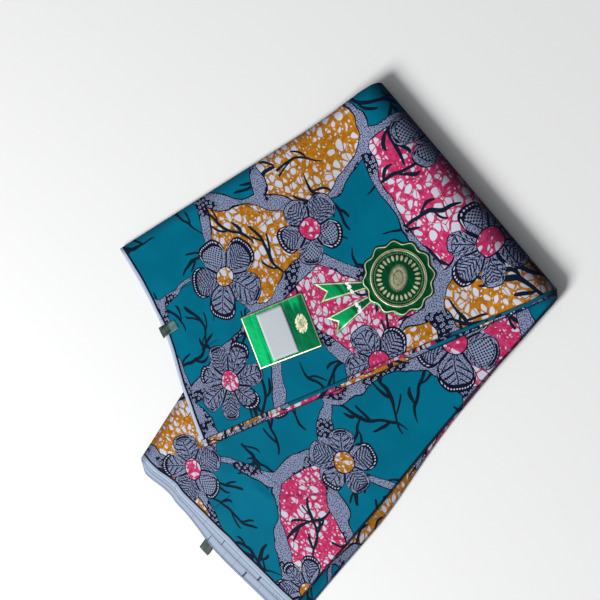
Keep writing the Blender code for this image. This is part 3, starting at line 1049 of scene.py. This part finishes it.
def edge_gold(place):
    """A gold line near the edge: a UV map holds the distance from the edge."""
    return between(parts(uv_map(place.tree, "inward"))[0], 0.0010, 0.0026, 0.0003)


def past_crease(place):
    """How far a place lies from the crease across the tails: less than 0 on the far side."""
    start, end = map(Vector, TAIL_CREASE)
    ahead = (end - start).normalized()
    return (place - (*start, 0.0)).math("DOT_PRODUCT", (ahead.y, -ahead.x, 0.0))


def tail_crease_highlight(place):
    """The crease across both tails, painted white as a highlight along a line of changing width."""
    width = step_up(clouds(place, 210.0, 2.0), 0.30, 0.60) * 0.0026 + 0.0010
    return step_up(width - abs(past_crease(place)), 0.0, 0.0006)


def tail_highlight(place):
    """Painted highlight: bright beyond the crease, dark towards the seal."""
    return step_up(past_crease(place), 0.004, -0.022)


def thin_piece(mesh, name, material, thickness):
    """Turns a sheet's mesh into a piece with a thickness, its face up."""
    bmesh.ops.recalc_face_normals(mesh, faces=mesh.faces)
    if sum(face.normal.z for face in mesh.faces) < 0.0:
        bmesh.ops.reverse_faces(mesh, faces=mesh.faces)
    piece = as_object(mesh, name, material)
    thicken(piece, thickness)
    return piece


def foil_sheet(name, columns, rows, shape, lift, material):
    """A thin foil shape: shape(u, v) gives its place in plan, its pattern place and its inward distance."""
    mesh = grid(columns, rows)
    found, inward = {}, {}
    for vert in mesh.verts:
        plan, found[vert], depth = shape(vert.co.x + 0.5, vert.co.y + 0.5)
        inward[vert] = (depth, 0.0)
        vert.co = on_face(plan[0], plan[1], lift)
    set_uvs(mesh, cloth=found, inward=inward)
    piece = thin_piece(mesh, name, material, FOIL_THICK)
    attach(piece, "root")
    return piece


# the tails' foil, painted bright beyond the crease and white along it as highlights
tail_foil = foil_material("tail foil", edge_gold, FOIL_GREEN, HIGHLIGHT_GREEN, tail_highlight, tail_crease_highlight)


for name, node, notch, *corners in TAILS:
    start, tip, other_start, other_tip = map(Vector, corners)
    length = ((tip + other_tip) / 2.0 - (start + other_start) / 2.0).length

    def tail_shape(u, v):
        """A ribbon that widens to a notched end."""
        share = u * (1.0 - notch / length * (1.0 - abs(2.0 * v - 1.0)))
        one, other = start.lerp(tip, share), other_start.lerp(other_tip, share)
        plan = other.lerp(one, v)
        to_side = (one - other).length * (0.5 - abs(v - 0.5))
        return plan, tuple(plan), min(to_side, (1.0 - u) * length * TAIL_SLOPE)

    tail = foil_sheet(name, 40, 20, tail_shape, FOIL_LIFT, tail_foil)
    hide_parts(node)


# Foil label
# A stuck-on label of green foil, painted bright in parts as a highlight, with a gold edge line and
# a small plain gold oval. A pale paper panel is stuck on it, and both are left blank.
LABEL_AT = (0.3267, 0.1926)
LABEL_SIZE = (0.108, 0.082)
LABEL_TURN = radians(17.5)
PANEL_AT = (0.005, 0.0)
PANEL_SIZE = (0.044, 0.071)
LABEL_OVAL_AT = (-0.0355, 0.0)
LABEL_OVAL = (radians(100.0), 0.0125, 0.0088)
PANEL_LIFT = 0.0009
WHITE_PAPER = (0.52, 0.56, 0.60, 1.0)
GREY_PAPER = (0.46, 0.50, 0.54, 1.0)


def rectangle(size, at):
    """A shape function for foil_sheet: a rectangle on the label, at a place on it."""
    def shape(u, v):
        x, y = at[0] + size[0] * (u - 0.5), at[1] + size[1] * (v - 0.5)
        plan = (LABEL_AT[0] + x * cos(LABEL_TURN) - y * sin(LABEL_TURN),
                LABEL_AT[1] + x * sin(LABEL_TURN) + y * cos(LABEL_TURN))
        inward = min(size[0] * (0.5 - abs(u - 0.5)), size[1] * (0.5 - abs(v - 0.5)))
        return plan, (x, y), inward
    return shape


def label_gold(place):
    """The label's gold edge line and its oval."""
    span = oval_span(place - (*LABEL_OVAL_AT, 0.0), *LABEL_OVAL)
    mottle = step_up(clouds(place, 330.0, 3.0), 0.32, 0.62)
    oval = step_up(span - mottle * 0.16, 1.00, 0.90) * (mottle * 0.6 + 0.4)
    return highest(edge_gold(place), oval * (1.0 - step_up(span, 0.62, 0.40) * 0.45))


def label_highlight(place):
    """Painted highlight: the label is bright past the panel and in one corner, and dark in the half with
    the oval.
    """
    x, y, _ = parts(place)
    return highest(step_up(x, -0.004, 0.036), step_up(y, 0.012, 0.040) * 0.7)


# the label's foil, painted bright past the panel and in one corner as a highlight
label_foil = foil_material("label foil", label_gold, FOIL_GREEN, HIGHLIGHT_GREEN, label_highlight)
label = foil_sheet("green_label", 36, 28, rectangle(LABEL_SIZE, (0.0, 0.0)), FOIL_LIFT, label_foil)
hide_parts("foil_label")

panel_paper, tree, shader = new_material("panel paper")
fibre = step_up(clouds(uv_map(tree), 900.0, 2.0), 0.3, 0.7)
join(tree, shader, {"Base Color": lay_over(fibre, WHITE_PAPER, GREY_PAPER), "Roughness": 0.45})
panel = foil_sheet("pale_panel", 14, 20, rectangle(PANEL_SIZE, PANEL_AT), PANEL_LIFT, panel_paper)
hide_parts("label_panel")


# Tape tabs
# Two short tabs of thin green tape that hold the plies together: one folded over the upper
# selvedge, and one that sticks out from under the lower selvedge.
UPPER_TAB = (
    # run and across of the inner corners and of the outer ones, the lower side first
    ((0.4796, 0.1854), (0.4783, 0.1995)),
    ((0.5175, 0.1822), (0.5141, 0.2012)),
)
LOWER_TAB = (((0.6600, 0.1600), (0.6600, 0.1785)), ((0.6950, 0.1591), (0.6985, 0.1782)))
TAB_SAG = 0.0035
TAB_SAG_OVER = 0.009
TAB_RISE = 0.0012
TAB_WAVE = 0.0003
TAB_LIFT = 0.0005
TAPE_THICK = 0.00015
DARK_TAPE = (0.006, 0.030, 0.024, 1.0)
THIN_TAPE = (0.105, 0.205, 0.185, 1.0)


def tape_material(name, darkest, lightest, gloss):
    """Thin tape: grey-green where it lies on white, nearly black over the dark line."""
    material, tree, shader = new_material(name)
    place = uv_map(tree)
    streaks = clouds(place * (0.15, 1.0, 1.0), 420.0, 2.0)
    thin = step_up(parts(place)[0], darkest, lightest) * (streaks * 0.9 + 0.35)
    join(tree, shader, {
        "Base Color": lay_over(thin, DARK_TAPE, THIN_TAPE),
        "Roughness": clouds(place, 120.0, 2.0) * 0.2 + gloss,
        "Specular IOR Level": 0.3,
    })
    return material


def tape_tab(name, node, stretch, corners, material):
    """A strip of tape from inside a selvedge to past it, laid on the cloth or sagging beyond it."""
    mesh = grid(16, 8)
    places = {}
    for vert in mesh.verts:
        u, v = vert.co.x + 0.5, vert.co.y + 0.5
        inner, outer = (Vector(pair[0]).lerp(Vector(pair[1]), v) for pair in corners)
        run, across = inner.lerp(outer, u)
        end = run_length(stretch, across)
        past = max(0.0, run - end)
        point = strip_point((stretch, (min(run, end) - RUN_START) / (end - RUN_START)), across, 0.0, past)
        if stretch == "upper":
            height = point.z + TAB_LIFT - TAB_SAG * smooth(past / TAB_SAG_OVER)
        else:
            height = TAB_LIFT + TAB_RISE * smooth(u)
        places[vert] = (run - end, across)
        vert.co = Vector((point.x, point.y, height + TAB_WAVE * sin(v * 7.0 + u * 4.0)))
    set_uvs(mesh, cloth=places)
    tab = thin_piece(mesh, name, material, TAPE_THICK)
    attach(tab, "root")
    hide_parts(node)


upper_tape = tape_material("tape over the edge", darkest=-0.010, lightest=-0.016, gloss=0.28)
lower_tape = tape_material("tape on the floor", darkest=0.046, lightest=0.090, gloss=0.46)
tape_tab("tab_upper", "tape_tab_upper", "upper", UPPER_TAB, upper_tape)
tape_tab("tab_lower", "tape_tab_lower", "lower", LOWER_TAB, lower_tape)


# Floor and light
# A plain pale floor and soft studio light. The key light comes from the selvedge side, so the
# turned fold and the far spine round away into shade, which painted shade in the cloth deepens.
mesh = bmesh.new()
bmesh.ops.create_grid(mesh, x_segments=1, y_segments=1, size=16.0)
pale, tree, shader = new_material("pale floor")
join(tree, shader, {"Base Color": (0.90, 0.90, 0.90, 1.0), "Roughness": 0.9})
floor = as_object(mesh, "floor", pale)
floor.location.z = -0.0004

world = bpy.data.worlds.new("studio")
world.use_nodes = True
sky = {"Color": (0.95, 0.97, 1.0, 1.0), "Strength": 0.20}
join(world.node_tree, world.node_tree.nodes["Background"], sky)
bpy.context.scene.world = world


def studio_light(name, place, aim, size, power):
    """A large soft light."""
    data = bpy.data.lights.new(name, "AREA")
    data.shape = "DISK"
    data.size = size
    data.energy = power
    light = bpy.data.objects.new(name, data)
    light.location = place
    light.rotation_euler = (Vector(aim) - Vector(place)).to_track_quat("-Z", "Y").to_euler()
    bpy.context.scene.collection.objects.link(light)


studio_light("key", (-3.3, -3.2, 3.3), aim=(-0.1, -0.1, 0.0), size=2.6, power=430.0)
studio_light("window", (-1.58, -0.48, 2.4), aim=(0.0, 0.0, 0.0), size=1.0, power=3.6)
